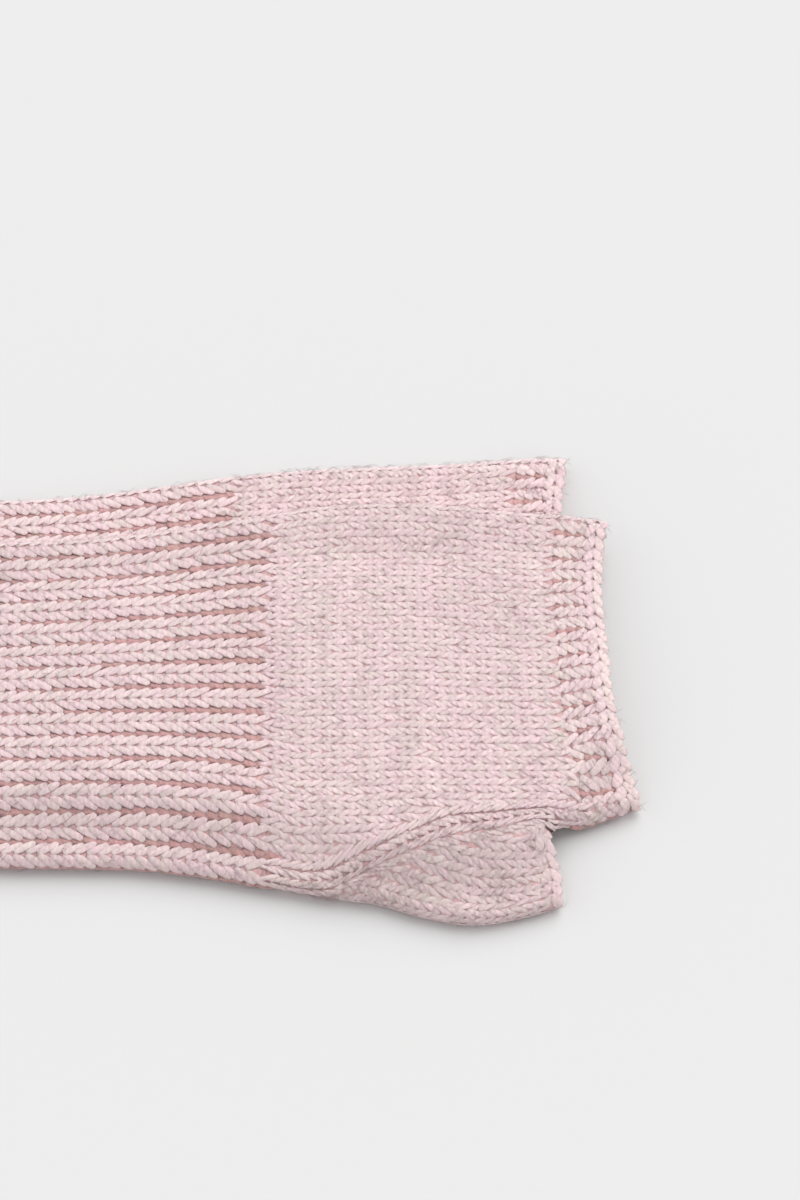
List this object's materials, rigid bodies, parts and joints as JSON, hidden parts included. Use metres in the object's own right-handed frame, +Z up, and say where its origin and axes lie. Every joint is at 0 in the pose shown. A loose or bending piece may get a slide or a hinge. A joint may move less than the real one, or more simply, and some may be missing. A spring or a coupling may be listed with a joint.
{
  "type": "pair of knitted arm warmers",
  "caption": "Ribbed knitted arm warmers with plain hands, thumb gussets and open finger bands, laid flat, one on the other.",
  "frame": {"origin": "on the surface that the pair lies on, under the middle of its box", "axes": "+X along the arms towards the fingers, +Y across them away from the thumbs, +Z up"},
  "size_m": [0.2686, 0.1296, 0.0127],
  "materials": {
    "rib_knit": "soft heather wool yarn in 1x1 rib",
    "plain_knit": "soft heather wool yarn in stocking stitch",
    "band_knit": "soft heather wool yarn in 1x1 rib with a bound-off edge",
    "thumb_knit": "soft heather wool yarn in stocking stitch"
  },
  "bodies": {
    "root": {"lower_forearm_rib": "rib_knit", "lower_hand": "plain_knit", "lower_finger_band": "band_knit", "lower_thumb": "thumb_knit", "upper_forearm_rib": "rib_knit", "upper_hand": "plain_knit", "upper_finger_band": "band_knit", "upper_thumb": "thumb_knit"}
  },
  "joints": []
}
